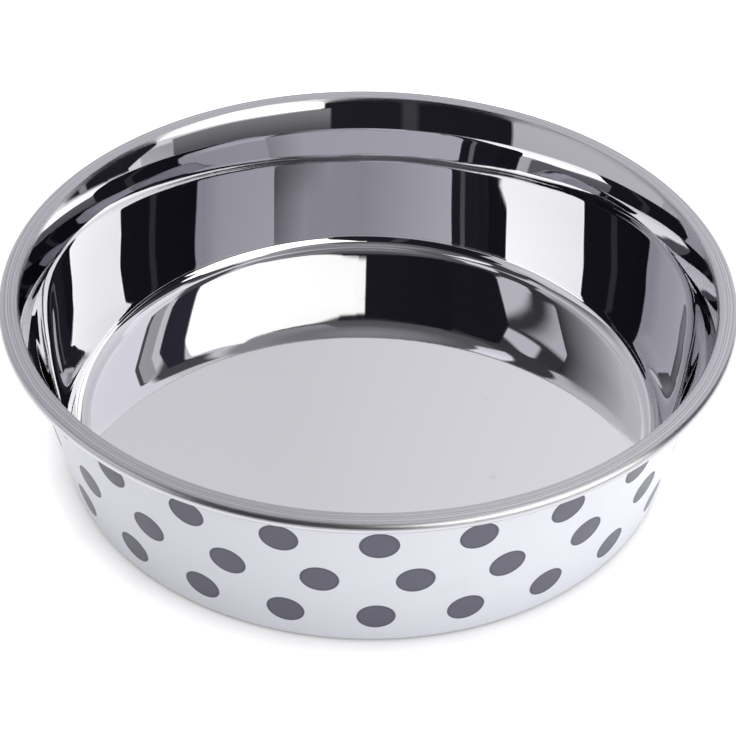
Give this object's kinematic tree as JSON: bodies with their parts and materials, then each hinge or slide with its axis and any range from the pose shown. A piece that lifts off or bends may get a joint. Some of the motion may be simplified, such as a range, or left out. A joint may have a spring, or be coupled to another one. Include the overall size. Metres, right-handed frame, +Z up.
{
  "type": "dog bowl",
  "caption": "Low round pet bowl: mirror-polished steel liner with a flat curled rim, seated in a tapered white moulded shell with grey dots, on a rubber base ring.",
  "frame": {"origin": "centre of the circle that the base ring stands on", "axes": "+Z up along the bowl's axis; the bowl is round, so +X and +Y are any two directions across it"},
  "size_m": [0.21, 0.21, 0.056],
  "materials": {
    "polished_steel": "mirror-polished stainless steel, with a satin turned finish on the flat of the rim",
    "shell_white": "gloss white moulding, printed with grey dots",
    "base_rubber": "matt black rubber"
  },
  "bodies": {
    "root": {"steel_liner": "polished_steel", "outer_shell": "shell_white", "base_ring": "base_rubber"}
  },
  "joints": []
}
